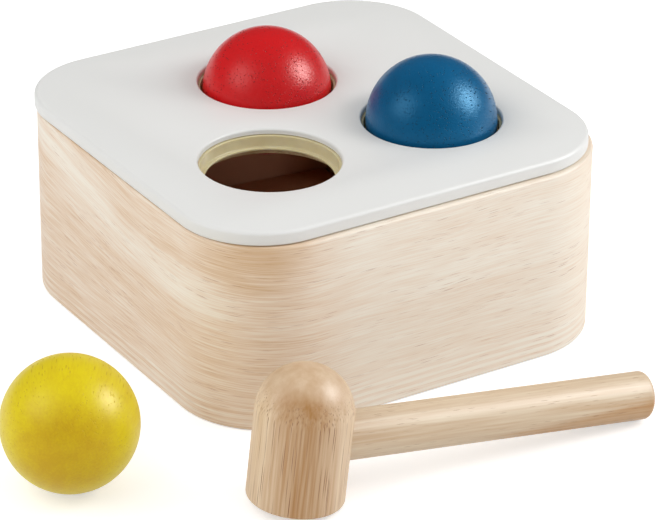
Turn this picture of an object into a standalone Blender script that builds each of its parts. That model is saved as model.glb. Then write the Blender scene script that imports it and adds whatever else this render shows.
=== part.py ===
"""Ball pounding box: a rounded wooden box whose lid grips balls in elastic rings, with its hammer.

Metres, +Z up. The origin is the middle of the box's underside, -Y is the front and +X is the side
where the balls roll out.
"""
import math

import bmesh
import bpy

MM = 0.001

# Clearances
SEAT_GAP = 0.3 * MM
GUIDE_CLEARANCE = 1.0 * MM

# Side wall, one ring of bent wood
BOX_SIDE = 160.0 * MM
BOX_CORNER = 34.0 * MM
WALL_THICKNESS = 8.0 * MM
WALL_HEIGHT = 69.0 * MM
WALL_ROUND = 0.8 * MM

# Balls, with how far the centre of each held ball lies below the lid's top
BALL_RADIUS = 23.0 * MM
RED_BALL_DEPTH = 4.1 * MM
BLUE_BALL_DEPTH = 0.9 * MM
YELLOW_BALL_X = -136.1 * MM
YELLOW_BALL_Y = -72.0 * MM

# Lid board, which sits a millimetre off the middle of the wall
LID_INSET = 1.2 * MM
LID_CORNER = 30.6 * MM
LID_THICKNESS = 5.0 * MM
LID_TOP_ROUND = 1.3 * MM
LID_BOTTOM_ROUND = 0.9 * MM
LID_SHIFT_X = -1.06 * MM
LID_SHIFT_Y = 0.66 * MM

# Three holes at the corners of an equilateral triangle
HOLE_PITCH = 65.5 * MM
HOLE_CLEARANCE = 1.6 * MM
HOLE_ROUND = 0.9 * MM
HOLE_LIP = 2.0 * MM

# Elastic rings, each a flanged sleeve with a gripping lip at its lower end
RING_CLEARANCE = 0.7 * MM
RING_WALL = 1.3 * MM
RING_FLANGE = 1.5 * MM
RING_HEIGHT = 5.0 * MM
RING_LIP_HEIGHT = 0.9 * MM
RING_LIP_EDGE = 0.2 * MM
RING_GRIP = 0.7 * MM

# Boards, battens and posts inside the box
RING_BOARD_THICKNESS = 4.5 * MM
BASE_THICKNESS = 4.0 * MM
RAMP_THICKNESS = 3.0 * MM
RAMP_LIFT = 1.0 * MM
RAMP_SLOPE = math.radians(4.0)
CLEAT_WIDTH = 12.0 * MM
CLEAT_OFFSET = 35.0 * MM
CLEAT_TOE = 32.0 * MM
POST_LEG = 22.0 * MM

# Arched opening in the +X wall
EXIT_SIDE_ROOM = 6.0 * MM
EXIT_HEADROOM = 3.0 * MM
GUIDE_STEP = 1.0 * MM

# Countersunk wood screws
SCREW_RADIUS = 1.6 * MM
SCREW_HEAD_RADIUS = 3.2 * MM
SCREW_HEAD_HEIGHT = 1.8 * MM
SCREW_TIP = 2.0 * MM
SCREW_RECESS = 0.9 * MM
SCREW_SINK = 0.4 * MM
POST_SCREW_LENGTH = 18.0 * MM
LID_SCREW_LENGTH = 7.0 * MM
LID_SCREW_CIRCLE = 48.0 * MM

# Hammer, lying on the rim of its flat face and on the end of its handle
HEAD_RADIUS = 16.3 * MM
HEAD_STRAIGHT = 31.0 * MM
HEAD_EDGE = 1.2 * MM
HANDLE_RADIUS = 8.25 * MM
HANDLE_REACH = 129.3 * MM
HANDLE_HEIGHT = 20.2 * MM
HANDLE_END_ROUND = 2.0 * MM
SOCKET_DEPTH = 6.0 * MM
HAMMER_X = -78.9 * MM
HAMMER_Y = -118.5 * MM
HAMMER_YAW = math.radians(-5.7)

# Facets, and how far a cutter reaches past what it cuts
CORNER_STEPS = 8
ROUND_STEPS = 3
HOLE_STEPS = 40
BALL_STEPS = 32
HAMMER_STEPS = 36
DOME_STEPS = 8
ARCH_STEPS = 16
SCREW_STEPS = 12
SHARP_ANGLE = math.radians(35)
CUT_MARGIN = 5.0 * MM
FLARE_OVERRUN = 0.05 * MM
MERGE_DISTANCE = 0.001 * MM

# Sizes that follow from those above
INNER_HALF = BOX_SIDE / 2 - WALL_THICKNESS
INNER_CORNER = BOX_CORNER - WALL_THICKNESS
LID_SIDE = BOX_SIDE - 2 * LID_INSET
PLUG_CLEARANCE = max(abs(LID_SHIFT_X), abs(LID_SHIFT_Y)) + SEAT_GAP
LID_BOTTOM = WALL_HEIGHT + SEAT_GAP
LID_TOP = LID_BOTTOM + LID_THICKNESS
RING_BOARD_TOP = LID_BOTTOM - SEAT_GAP
RING_BOARD_BOTTOM = RING_BOARD_TOP - RING_BOARD_THICKNESS
RING_TOP = LID_TOP - HOLE_LIP - SEAT_GAP
RING_FLANGE_BOTTOM = RING_BOARD_TOP + SEAT_GAP
RING_BOTTOM = RING_TOP - RING_HEIGHT
RING_LIP_TOP = RING_BOTTOM + RING_LIP_HEIGHT
RING_INNER = BALL_RADIUS + RING_CLEARANCE
RING_SLEEVE = RING_INNER + RING_WALL
RING_OUTER = RING_SLEEVE + RING_FLANGE
HOLE_RADIUS = BALL_RADIUS + HOLE_CLEARANCE
TRIANGLE_HEIGHT = HOLE_PITCH * math.sqrt(3) / 2
HOLE_FRONT_Y = LID_SHIFT_Y - TRIANGLE_HEIGHT / 2
HOLE_FRONT_LEFT = (LID_SHIFT_X - HOLE_PITCH / 2, HOLE_FRONT_Y)
HOLE_FRONT_RIGHT = (LID_SHIFT_X + HOLE_PITCH / 2, HOLE_FRONT_Y)
HOLE_BACK = (LID_SHIFT_X, HOLE_FRONT_Y + TRIANGLE_HEIGHT)
HOLES = (HOLE_FRONT_LEFT, HOLE_FRONT_RIGHT, HOLE_BACK)
POST_FACE = INNER_HALF - POST_LEG
POST_SCREW = POST_FACE + POST_LEG / 3
POST_BOTTOM = BASE_THICKNESS + SEAT_GAP
POST_TOP = RING_BOARD_BOTTOM - SEAT_GAP
TONGUE_REACH = WALL_THICKNESS - SEAT_GAP
RAMP_UNDERSIDE = BASE_THICKNESS + RAMP_LIFT
RAMP_EXIT_HEIGHT = RAMP_UNDERSIDE + RAMP_THICKNESS / math.cos(RAMP_SLOPE)
EXIT_SILL = RAMP_UNDERSIDE - TONGUE_REACH * math.tan(RAMP_SLOPE) - SEAT_GAP
EXIT_HALF = BALL_RADIUS + EXIT_SIDE_ROOM
EXIT_TOP = RAMP_EXIT_HEIGHT + 2 * BALL_RADIUS + EXIT_HEADROOM
GUIDE_TIP = EXIT_HALF + GUIDE_STEP


# Helpers
def linear(hex_colour):
    """Linear RGBA from an sRGB hex colour."""
    channels = [int(hex_colour[i:i + 2], 16) / 255 for i in (0, 2, 4)]
    return [c / 12.92 if c <= 0.04045 else ((c + 0.055) / 1.055) ** 2.4 for c in channels] + [1.0]


def make_material(name, hex_colour, roughness, metallic=0.0):
    material = bpy.data.materials.new(name)
    material.use_nodes = True
    shader = material.node_tree.nodes["Principled BSDF"]
    shader.inputs["Base Color"].default_value = linear(hex_colour)
    shader.inputs["Roughness"].default_value = roughness
    shader.inputs["Metallic"].default_value = metallic
    return material


def new_object(name, bm, parent=None, location=(0, 0, 0), rotation=(0, 0, 0)):
    bmesh.ops.recalc_face_normals(bm, faces=bm.faces[:])
    mesh = bpy.data.meshes.new(name)
    bm.to_mesh(mesh)
    bm.free()
    mesh.shade_smooth()
    mesh.set_sharp_from_angle(angle=SHARP_ANGLE)
    piece = bpy.data.objects.new(name, mesh)
    piece.parent = parent
    piece.location = location
    piece.rotation_euler = rotation
    bpy.context.scene.collection.objects.link(piece)
    return piece


def add_piece(name, bm, hex_colour, roughness, metallic=0.0, **placing):
    """One sub-part with a material of its own."""
    piece = new_object(name, bm, **placing)
    piece.data.materials.append(make_material(name, hex_colour, roughness, metallic))
    return piece


def combine(piece, bm, operation, **placing):
    """Cut a piece with a solid, or keep what the two share."""
    cutter = new_object(f"{piece.name}_cutter", bm, **placing)
    cutter.hide_render = True
    cutter.display_type = "WIRE"
    modifier = piece.modifiers.new(cutter.name, "BOOLEAN")
    modifier.object = cutter
    modifier.operation = operation
    modifier.solver = "EXACT"


def arc(centre_x, centre_y, radius, start, end, steps):
    """Points of an arc, with its angles in degrees and both ends included."""
    angles = [math.radians(start + (end - start) * i / steps) for i in range(steps + 1)]
    return [(centre_x + radius * math.cos(a), centre_y + radius * math.sin(a)) for a in angles]


def rounded_square(side, corner):
    reach = side / 2 - corner
    outline = arc(reach, reach, corner, 0, 90, CORNER_STEPS)
    outline += arc(-reach, reach, corner, 90, 180, CORNER_STEPS)
    outline += arc(-reach, -reach, corner, 180, 270, CORNER_STEPS)
    outline += arc(reach, -reach, corner, 270, 360, CORNER_STEPS)
    return outline


def prism(outline, low, high, top_round=0.0, bottom_round=0.0):
    """An outline in X and Y, extruded from low to high, with its upper and lower edges rounded over."""
    bm = bmesh.new()
    base = bm.faces.new([bm.verts.new((x, y, low)) for x, y in outline])
    raised = bmesh.ops.extrude_face_region(bm, geom=[base], use_keep_orig=True)["geom"]
    raised_verts = [part for part in raised if isinstance(part, bmesh.types.BMVert)]
    bmesh.ops.translate(bm, verts=raised_verts, vec=(0, 0, high - low))
    for level, radius in ((high, top_round), (low, bottom_round)):
        if radius:
            rim = [e for e in bm.edges if all(abs(v.co.z - level) < MERGE_DISTANCE for v in e.verts)]
            bmesh.ops.bevel(bm, geom=rim, offset=radius, segments=ROUND_STEPS, profile=0.5, affect="EDGES")
    return bm


def turned(profile, steps):
    """A profile of radii and heights, turned about Z. It is closed by the axis or by its last edge."""
    bm = bmesh.new()
    verts = [bm.verts.new((radius, 0, height)) for radius, height in profile]
    edges = [bm.edges.new(pair) for pair in zip(verts, verts[1:])]
    if profile[0][0] > 0:
        edges.append(bm.edges.new((verts[-1], verts[0])))
    bmesh.ops.spin(bm, geom=verts + edges, axis=(0, 0, 1), angle=math.tau, steps=steps, use_merge=True)
    bmesh.ops.remove_doubles(bm, verts=bm.verts[:], dist=MERGE_DISTANCE)
    return bm


def screw_profile(length):
    """A countersunk screw with its head's face at height 0."""
    return [
        (0, SCREW_RECESS),
        (SCREW_HEAD_RADIUS / 2, 0),
        (SCREW_HEAD_RADIUS, 0),
        (SCREW_RADIUS, SCREW_HEAD_HEIGHT),
        (SCREW_RADIUS, length - SCREW_TIP),
        (0, length),
    ]


def screw_hole_profile(length):
    """The countersunk hole round that screw, open past its head."""
    head = SCREW_HEAD_RADIUS + SEAT_GAP
    shank = SCREW_RADIUS + SEAT_GAP
    return [
        (0, -CUT_MARGIN),
        (head, -CUT_MARGIN),
        (head, 0),
        (shank, SCREW_HEAD_HEIGHT),
        (shank, length - SCREW_TIP),
        (0, length + SEAT_GAP),
    ]


def add_screw(name, place, height, length, rotation, holed):
    """A screw that points up from its head unless turned over, and its hole in the pieces it passes."""
    placing = {"location": (*place, height), "rotation": rotation}
    add_piece(name, turned(screw_profile(length), SCREW_STEPS), "B9B9B4", 0.35, 1.0, **placing)
    for piece in holed:
        combine(piece, turned(screw_hole_profile(length), SCREW_STEPS), "DIFFERENCE", **placing)


# Side wall
def add_side_wall():
    outer = rounded_square(BOX_SIDE, BOX_CORNER)
    wall = add_piece("side_wall", prism(outer, 0, WALL_HEIGHT, WALL_ROUND, WALL_ROUND), "E4D2B9", 0.5)
    inner = rounded_square(2 * INNER_HALF, INNER_CORNER)
    combine(wall, prism(inner, -CUT_MARGIN, WALL_HEIGHT + CUT_MARGIN), "DIFFERENCE")
    spring_line = EXIT_TOP - EXIT_HALF
    arch = [(EXIT_HALF, EXIT_SILL)] + arc(0, spring_line, EXIT_HALF, 0, 180, ARCH_STEPS)
    arch.append((-EXIT_HALF, EXIT_SILL))
    cutter = prism(arch, INNER_HALF - CUT_MARGIN, BOX_SIDE / 2 + CUT_MARGIN)
    combine(wall, cutter, "DIFFERENCE", rotation=(math.pi / 2, 0, math.pi / 2))


# Base, posts, ramp and its battens
def add_base_board():
    outline = rounded_square(2 * (INNER_HALF - SEAT_GAP), INNER_CORNER - SEAT_GAP)
    return add_piece("base_board", prism(outline, 0, BASE_THICKNESS), "D8BE98", 0.6)


def add_post(name, side_x, side_y, outline):
    """A post that fills a corner of the wall: the part of an outline that lies inside the wall."""
    placed = [(side_x * x, side_y * y) for x, y in outline]
    post = add_piece(name, prism(placed, POST_BOTTOM, POST_TOP), "D9C29C", 0.6)
    inside = rounded_square(2 * (INNER_HALF - SEAT_GAP), INNER_CORNER - SEAT_GAP)
    combine(post, prism(inside, POST_BOTTOM - CUT_MARGIN, POST_TOP + CUT_MARGIN), "INTERSECT")
    return post


def add_posts():
    """Plain posts on the closed side, and posts with a slanting face that leads balls to the exit."""
    far = BOX_SIDE / 2
    plain = [(POST_FACE, POST_FACE), (far, POST_FACE), (far, far), (POST_FACE, far)]
    guide = [(POST_FACE, POST_FACE), (INNER_HALF, GUIDE_TIP), (far, GUIDE_TIP), (far, far), (POST_FACE, far)]
    return {
        (-1, -1): add_post("corner_post_front", -1, -1, plain),
        (-1, 1): add_post("corner_post_back", -1, 1, plain),
        (1, -1): add_post("exit_post_front", 1, -1, guide),
        (1, 1): add_post("exit_post_back", 1, 1, guide),
    }


def ramp_top(x):
    return RAMP_EXIT_HEIGHT + (INNER_HALF - x) * math.tan(RAMP_SLOPE)


def add_ramp_board():
    """A sloping floor, notched round the posts, whose tongue reaches out through the exit."""
    tongue = EXIT_HALF - SEAT_GAP
    notch = POST_FACE - GUIDE_CLEARANCE
    side = INNER_HALF - GUIDE_CLEARANCE
    half = [
        (TONGUE_REACH, tongue),
        (-GUIDE_CLEARANCE, tongue),
        (notch - INNER_HALF, notch),
        (notch - INNER_HALF, side),
        (-notch - INNER_HALF, side),
        (-notch - INNER_HALF, notch),
        (-side - INNER_HALF, notch),
    ]
    outline = half + [(x, -y) for x, y in reversed(half)]
    add_piece("ramp_board", prism(outline, -RAMP_THICKNESS, 0), "DCC6A2", 0.55,
              location=(INNER_HALF, 0, RAMP_EXIT_HEIGHT), rotation=(0, RAMP_SLOPE, 0))


def add_ramp_cleats():
    """Two tapered battens between the base and the ramp."""
    drop = RAMP_THICKNESS / math.cos(RAMP_SLOPE) + SEAT_GAP
    heel = -INNER_HALF + GUIDE_CLEARANCE
    toe = INNER_HALF - CLEAT_TOE
    bottom = BASE_THICKNESS + SEAT_GAP
    taper = [(heel, bottom), (toe, bottom), (toe, ramp_top(toe) - drop), (heel, ramp_top(heel) - drop)]
    for name, y in (("ramp_cleat_front", -CLEAT_OFFSET), ("ramp_cleat_back", CLEAT_OFFSET)):
        add_piece(name, prism(taper, -CLEAT_WIDTH / 2, CLEAT_WIDTH / 2), "CDB48C", 0.65,
                  location=(0, y, 0), rotation=(math.pi / 2, 0, 0))


# Lid, the board under it and the rings between them
def add_ring_board():
    outline = rounded_square(2 * (INNER_HALF - PLUG_CLEARANCE), INNER_CORNER - PLUG_CLEARANCE)
    board = add_piece("ring_board", prism(outline, RING_BOARD_BOTTOM, RING_BOARD_TOP), "D8BE98", 0.6,
                      location=(LID_SHIFT_X, LID_SHIFT_Y, 0))
    radius = RING_SLEEVE + SEAT_GAP
    low = RING_BOARD_BOTTOM - CUT_MARGIN
    high = RING_BOARD_TOP + CUT_MARGIN
    for x, y in HOLES:
        bore = turned([(0, high), (radius, high), (radius, low), (0, low)], HOLE_STEPS)
        combine(board, bore, "DIFFERENCE", location=(x, y, 0))
    return board


def add_lid():
    outline = rounded_square(LID_SIDE, LID_CORNER)
    solid = prism(outline, LID_BOTTOM, LID_TOP, LID_TOP_ROUND, LID_BOTTOM_ROUND)
    lid = add_piece("lid", solid, "E2E2E0", 0.45, location=(LID_SHIFT_X, LID_SHIFT_Y, 0))
    flare_height = LID_TOP - HOLE_ROUND + FLARE_OVERRUN
    flare = arc(HOLE_RADIUS + HOLE_ROUND, flare_height, HOLE_ROUND, 90, 180, ROUND_STEPS)
    seat = RING_OUTER + SEAT_GAP
    shoulder = LID_TOP - HOLE_LIP
    profile = [(0, LID_TOP + CUT_MARGIN), (HOLE_RADIUS + HOLE_ROUND, LID_TOP + CUT_MARGIN)] + flare
    profile += [(HOLE_RADIUS, shoulder), (seat, shoulder)]
    profile += [(seat, LID_BOTTOM - CUT_MARGIN), (0, LID_BOTTOM - CUT_MARGIN)]
    for x, y in HOLES:
        combine(lid, turned(profile, HOLE_STEPS), "DIFFERENCE", location=(x, y, 0))
    return lid


def stretched_lip(ball_depth):
    """Radius of a ring's lip that is spread by the ball resting in it."""
    above_lip = LID_TOP - ball_depth - RING_LIP_TOP
    return math.sqrt(BALL_RADIUS ** 2 - above_lip ** 2) + SEAT_GAP


def add_ring(name, place, lip_radius):
    lip_slope = RING_LIP_TOP + (RING_INNER - lip_radius)
    profile = [
        (RING_OUTER, RING_TOP),
        (RING_OUTER, RING_FLANGE_BOTTOM),
        (RING_SLEEVE, RING_FLANGE_BOTTOM),
        (RING_SLEEVE, RING_BOTTOM),
        (lip_radius + RING_LIP_EDGE, RING_BOTTOM),
        (lip_radius, RING_BOTTOM + RING_LIP_EDGE),
        (lip_radius, RING_LIP_TOP),
        (RING_INNER, lip_slope),
        (RING_INNER, RING_TOP),
    ]
    add_piece(name, turned(profile, HOLE_STEPS), "CDC5A0", 0.35, location=(*place, 0))


def add_rings():
    add_ring("ring_front_left", HOLE_FRONT_LEFT, BALL_RADIUS - RING_GRIP)
    add_ring("ring_front_right", HOLE_FRONT_RIGHT, stretched_lip(BLUE_BALL_DEPTH))
    add_ring("ring_back", HOLE_BACK, stretched_lip(RED_BALL_DEPTH))


# Screws
def add_post_screws(base, posts, ring_board):
    """At each post, one screw up through the base and one down through the board under the lid."""
    upright = (0, 0, 0)
    turned_over = (math.pi, 0, 0)
    for number, ((side_x, side_y), post) in enumerate(posts.items(), 1):
        place = (side_x * POST_SCREW, side_y * POST_SCREW)
        add_screw(f"base_screw_{number}", place, SCREW_SINK, POST_SCREW_LENGTH, upright, [base, post])
        height = RING_BOARD_TOP - SCREW_SINK
        add_screw(f"post_screw_{number}", place, height, POST_SCREW_LENGTH, turned_over, [ring_board, post])


def add_lid_screws(ring_board, lid):
    """Screws up through the board into the lid: one amid the holes, and one outside each pair of them."""
    middle_y = HOLE_FRONT_Y + TRIANGLE_HEIGHT / 3
    places = [(LID_SHIFT_X, middle_y)] + arc(LID_SHIFT_X, middle_y, LID_SCREW_CIRCLE, -90, 150, 2)
    height = RING_BOARD_BOTTOM + SCREW_SINK
    for number, place in enumerate(places, 1):
        add_screw(f"lid_screw_{number}", place, height, LID_SCREW_LENGTH, (0, 0, 0), [ring_board, lid])


# Balls
def add_ball(name, x, y, z, hex_colour):
    bm = bmesh.new()
    bmesh.ops.create_uvsphere(bm, u_segments=BALL_STEPS, v_segments=BALL_STEPS // 2, radius=BALL_RADIUS)
    add_piece(name, bm, hex_colour, 0.4, location=(x, y, z))


def add_balls():
    add_ball("red_ball", *HOLE_BACK, LID_TOP - RED_BALL_DEPTH, "C41E25")
    add_ball("blue_ball", *HOLE_FRONT_RIGHT, LID_TOP - BLUE_BALL_DEPTH, "06578C")
    add_ball("yellow_ball", YELLOW_BALL_X, YELLOW_BALL_Y, BALL_RADIUS, "DEC81E")


# Hammer
def hammer_lean():
    """Tilt that brings the head's rounded rim and the handle's rounded end down to one level."""
    rise = HANDLE_HEIGHT - HANDLE_RADIUS + HANDLE_END_ROUND - HEAD_EDGE
    run = HANDLE_REACH - HANDLE_END_ROUND - HEAD_RADIUS + HEAD_EDGE
    return math.atan2(rise, run) - math.asin((HANDLE_END_ROUND - HEAD_EDGE) / math.hypot(rise, run))


def add_hammer():
    lean = hammer_lean()
    pose = bpy.data.objects.new("hammer_pose", None)
    face_rise = (HEAD_RADIUS - HEAD_EDGE) * math.sin(lean) + HEAD_EDGE * (1 - math.cos(lean))
    pose.location = (HAMMER_X, HAMMER_Y, face_rise)
    pose.rotation_euler = (0, lean, HAMMER_YAW)
    bpy.context.scene.collection.objects.link(pose)

    rim = arc(HEAD_RADIUS - HEAD_EDGE, HEAD_EDGE, HEAD_EDGE, -90, 0, ROUND_STEPS)
    dome = arc(0, HEAD_STRAIGHT, HEAD_RADIUS, 0, 90, DOME_STEPS)
    head_profile = [(0, 0)] + rim + dome[:-1] + [(0, HEAD_STRAIGHT + HEAD_RADIUS)]
    head = add_piece("hammer_head", turned(head_profile, HAMMER_STEPS), "D8B48A", 0.5, parent=pose)

    along_handle = (0, math.pi / 2, 0)
    bore_radius = HANDLE_RADIUS + SEAT_GAP
    bore_end = SOCKET_DEPTH + HEAD_RADIUS + CUT_MARGIN
    bore = turned([(0, 0), (bore_radius, 0), (bore_radius, bore_end), (0, bore_end)], HAMMER_STEPS)
    bore_start = (-SOCKET_DEPTH, 0, HANDLE_HEIGHT)
    combine(head, bore, "DIFFERENCE", parent=pose, location=bore_start, rotation=along_handle)

    length = HANDLE_REACH + SOCKET_DEPTH - SEAT_GAP
    end = arc(HANDLE_RADIUS - HANDLE_END_ROUND, length - HANDLE_END_ROUND, HANDLE_END_ROUND, 0, 90, ROUND_STEPS)
    handle_profile = [(0, 0), (HANDLE_RADIUS, 0)] + end + [(0, length)]
    add_piece("hammer_handle", turned(handle_profile, HAMMER_STEPS), "E6D2B0", 0.5, parent=pose,
              location=(SEAT_GAP - SOCKET_DEPTH, 0, HANDLE_HEIGHT), rotation=along_handle)


for old in list(bpy.data.objects):
    bpy.data.objects.remove(old)
add_side_wall()
base_board = add_base_board()
corner_posts = add_posts()
add_ramp_board()
add_ramp_cleats()
board_under_lid = add_ring_board()
lid_board = add_lid()
add_rings()
add_post_screws(base_board, corner_posts, board_under_lid)
add_lid_screws(board_under_lid, lid_board)
add_balls()
add_hammer()
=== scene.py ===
"""Looks of the ball pounding box: bent rubberwood, an off-white lacquered lid, elastic rings, stained balls
and a plain turned hammer. Metres, +Z up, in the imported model's own frame.
"""

import math

import bmesh
import bpy
from mathutils import Matrix, Vector


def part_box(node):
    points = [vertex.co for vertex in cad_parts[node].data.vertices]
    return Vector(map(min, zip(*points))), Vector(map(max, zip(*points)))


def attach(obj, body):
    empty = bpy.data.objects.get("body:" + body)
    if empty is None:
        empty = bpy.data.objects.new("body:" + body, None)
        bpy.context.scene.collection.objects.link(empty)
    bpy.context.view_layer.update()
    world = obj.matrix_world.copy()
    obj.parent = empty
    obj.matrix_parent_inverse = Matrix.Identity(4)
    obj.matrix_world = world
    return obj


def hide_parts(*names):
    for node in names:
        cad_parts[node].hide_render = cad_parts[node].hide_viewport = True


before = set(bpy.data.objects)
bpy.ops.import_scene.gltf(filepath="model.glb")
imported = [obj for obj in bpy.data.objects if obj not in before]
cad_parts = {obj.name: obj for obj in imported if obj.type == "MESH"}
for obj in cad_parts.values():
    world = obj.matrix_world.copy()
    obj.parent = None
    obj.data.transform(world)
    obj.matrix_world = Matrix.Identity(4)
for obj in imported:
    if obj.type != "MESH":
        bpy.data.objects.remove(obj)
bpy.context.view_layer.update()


# Side wall: one strip of pale rubberwood, bent round four corners and glued end to end at the back.
# Its edges are eased by sanding, and an arch for the balls is cut through the right-hand side.
BEND = 0.034
WALL = 0.008
WALL_EASE = 0.0008
BEND_STEPS = 24
EASE_STEPS = 4
ARCH_HALF = 0.029
ARCH_SILL = 0.00416
ARCH_TOP = 0.05701
ARCH_STEPS = 24
ARCH_EASE = 0.0007
CUT_MARGIN = 0.005
MERGE = 1e-6
FLAT_LIMIT = 0.99995
FACING = 0.7
SHARP_ANGLE = math.radians(35)

half_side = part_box("side_wall")[1].x
wall_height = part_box("side_wall")[1].z
straight = half_side - BEND
quarter = 2 * straight + BEND * math.pi / 2


def push(bm, edges, step):
    """Extrudes a loop of edges along a straight step, and returns the loop at its far end."""
    grown = bmesh.ops.extrude_edge_only(bm, edges=edges)["geom"]
    verts = [part for part in grown if isinstance(part, bmesh.types.BMVert)]
    bmesh.ops.translate(bm, verts=verts, vec=step)
    return [part for part in grown if isinstance(part, bmesh.types.BMEdge) and set(part.verts) <= set(verts)]


def cut(bm, cutter):
    """Takes one solid out of another and returns what is left."""
    solids = []
    for solid in (bm, cutter):
        bmesh.ops.remove_doubles(solid, verts=solid.verts[:], dist=MERGE)
        bmesh.ops.recalc_face_normals(solid, faces=solid.faces[:])
        mesh = bpy.data.meshes.new("cut")
        solid.to_mesh(mesh)
        solid.free()
        solids.append(bpy.data.objects.new("cut", mesh))
        bpy.context.scene.collection.objects.link(solids[-1])
    modifier = solids[0].modifiers.new("cut", "BOOLEAN")
    modifier.object = solids[1]
    modifier.solver = "EXACT"
    left = bmesh.new()
    left.from_object(solids[0], bpy.context.evaluated_depsgraph_get())
    for solid in solids:
        bpy.data.objects.remove(solid)
    return left


def add_piece(name, bm, material, slot, body, *replaced):
    """A finished piece: flat faces stay flat, round ones are smooth, and it rides on its body."""
    bmesh.ops.remove_doubles(bm, verts=bm.verts[:], dist=MERGE)
    bmesh.ops.recalc_face_normals(bm, faces=bm.faces[:])
    for face in bm.faces:
        face.smooth = max(abs(part) for part in face.normal) < FLAT_LIMIT
    mesh = bpy.data.meshes.new(name)
    bm.to_mesh(mesh)
    bm.free()
    mesh.set_sharp_from_angle(angle=SHARP_ANGLE)
    mesh.materials.append(material)
    piece = bpy.data.objects.new(name, mesh)
    bpy.context.scene.collection.objects.link(piece)
    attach(piece, body)
    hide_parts(*replaced)
    return piece


strip = bmesh.new()
section = strip.faces.new([
    strip.verts.new((0, half_side - depth, height))
    for depth, height in ((0, 0), (WALL, 0), (WALL, wall_height), (0, wall_height))
])
bmesh.ops.bevel(strip, geom=section.verts[:], offset=WALL_EASE, segments=EASE_STEPS, profile=0.5,
                affect="VERTICES", material=-1)
bmesh.ops.delete(strip, geom=strip.faces[:], context="FACES_ONLY")
loop = strip.edges[:]
for run_x, run_y, corner_x, corner_y in (
    (-straight, 0, -straight, straight),
    (0, -2 * straight, -straight, -straight),
    (2 * straight, 0, straight, -straight),
    (0, 2 * straight, straight, straight),
):
    loop = push(strip, loop, (run_x, run_y, 0))
    bent = bmesh.ops.spin(strip, geom=loop, cent=(corner_x, corner_y, 0), axis=(0, 0, 1), angle=math.pi / 2,
                          steps=BEND_STEPS)["geom_last"]
    loop = [part for part in bent if isinstance(part, bmesh.types.BMEdge)]
push(strip, loop, (-straight, 0, 0))

arch = bmesh.new()
arch_face = arch.faces.new([
    arch.verts.new((half_side - WALL - CUT_MARGIN, side * ARCH_HALF, height))
    for side, height in ((-1, ARCH_SILL), (1, ARCH_SILL), (1, ARCH_TOP), (-1, ARCH_TOP))
])
arch_shoulders = [v for v in arch_face.verts if v.co.z > ARCH_TOP - ARCH_HALF]
bmesh.ops.bevel(arch, geom=arch_shoulders, offset=ARCH_HALF, segments=ARCH_STEPS, profile=0.5,
                affect="VERTICES", material=-1)
reach = bmesh.ops.extrude_face_region(arch, geom=arch.faces[:], use_keep_orig=True)["geom"]
bmesh.ops.translate(arch, verts=[part for part in reach if isinstance(part, bmesh.types.BMVert)],
                    vec=(WALL + 2 * CUT_MARGIN, 0, 0))
strip = cut(strip, arch)
arch_rim = [
    edge for edge in strip.edges
    if all(abs(v.co.y) < ARCH_HALF + MERGE and v.co.z < ARCH_TOP + MERGE for v in edge.verts)
    and any(all(abs(v.co.x - face) < MERGE for v in edge.verts) for face in (half_side, half_side - WALL))
    and edge.calc_face_angle(0) > SHARP_ANGLE
]
bmesh.ops.bevel(strip, geom=arch_rim, offset=ARCH_EASE, segments=EASE_STEPS, profile=0.5, affect="EDGES",
                material=-1)


def strip_place(point):
    """How far along the strip from its glued joint a point lies, going left, and how deep in the wood."""
    turns = round(math.atan2(-point.x, point.y) / (math.pi / 2))
    there = Matrix.Rotation(-turns * math.pi / 2, 3, "Z") @ point
    over = max(abs(there.x) - straight, 0)
    rise = there.y - straight
    if over > 0:
        length = straight + BEND * math.atan2(over, rise)
        depth = BEND - math.hypot(over, rise)
    else:
        length = abs(there.x)
        depth = BEND - rise
    along = turns * quarter - math.copysign(length, there.x)
    return along % (4 * quarter), depth


grain_map = strip.loops.layers.uv.new("grain")
inner_face = strip.faces.layers.float.new("inner_face")
strip.normal_update()
for face in strip.faces:
    middle, middle_depth = strip_place(face.calc_center_median())
    face[inner_face] = float(middle_depth > WALL - MERGE)
    for corner in face.loops:
        along, depth = strip_place(corner.vert.co)
        along -= round((along - middle) / (4 * quarter)) * 4 * quarter
        across = corner.vert.co.z
        if abs(face.normal.z) > FACING:
            across += math.copysign(depth, face.normal.z)
        if abs(face.normal.y) > FACING and abs(corner.vert.co.x) > straight + BEND / 2:
            along += depth
        corner[grain_map].uv = (along, across)


def srgb(hex_colour):
    """Linear RGBA from an sRGB hex colour."""
    channels = [int(hex_colour[i:i + 2], 16) / 255 for i in (0, 2, 4)]
    return [c / 12.92 if c <= 0.04045 else ((c + 0.055) / 1.055) ** 2.4 for c in channels] + [1.0]


def set_inputs(tree, node, inputs):
    """Sets a node's inputs to values, or links them to sockets or to the first output of other nodes."""
    for name, value in inputs.items():
        if isinstance(value, bpy.types.Node):
            value = next(socket for socket in value.outputs if socket.enabled)
        if isinstance(value, bpy.types.NodeSocket):
            tree.links.new(value, node.inputs[name])
        else:
            node.inputs[name].default_value = value


def add_node(tree, kind, inputs, **settings):
    """Adds a node with its settings and inputs."""
    node = tree.nodes.new(kind)
    for name, value in settings.items():
        setattr(node, name, value)
    set_inputs(tree, node, inputs)
    return node


def new_material(name):
    """An empty material's node tree and its shader."""
    material = bpy.data.materials.new(name)
    material.use_nodes = True
    return material, material.node_tree, material.node_tree.nodes["Principled BSDF"]


BAND_STRETCH = 14
FIBRE_STRETCH = 40
BAND_DETAIL = 2.0
FIBRE_DETAIL = 4.0
NOISE_LOW = 0.3
NOISE_HIGH = 0.7
PORE_CORE = 0.4
MM_PER_METRE = 1000


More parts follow.
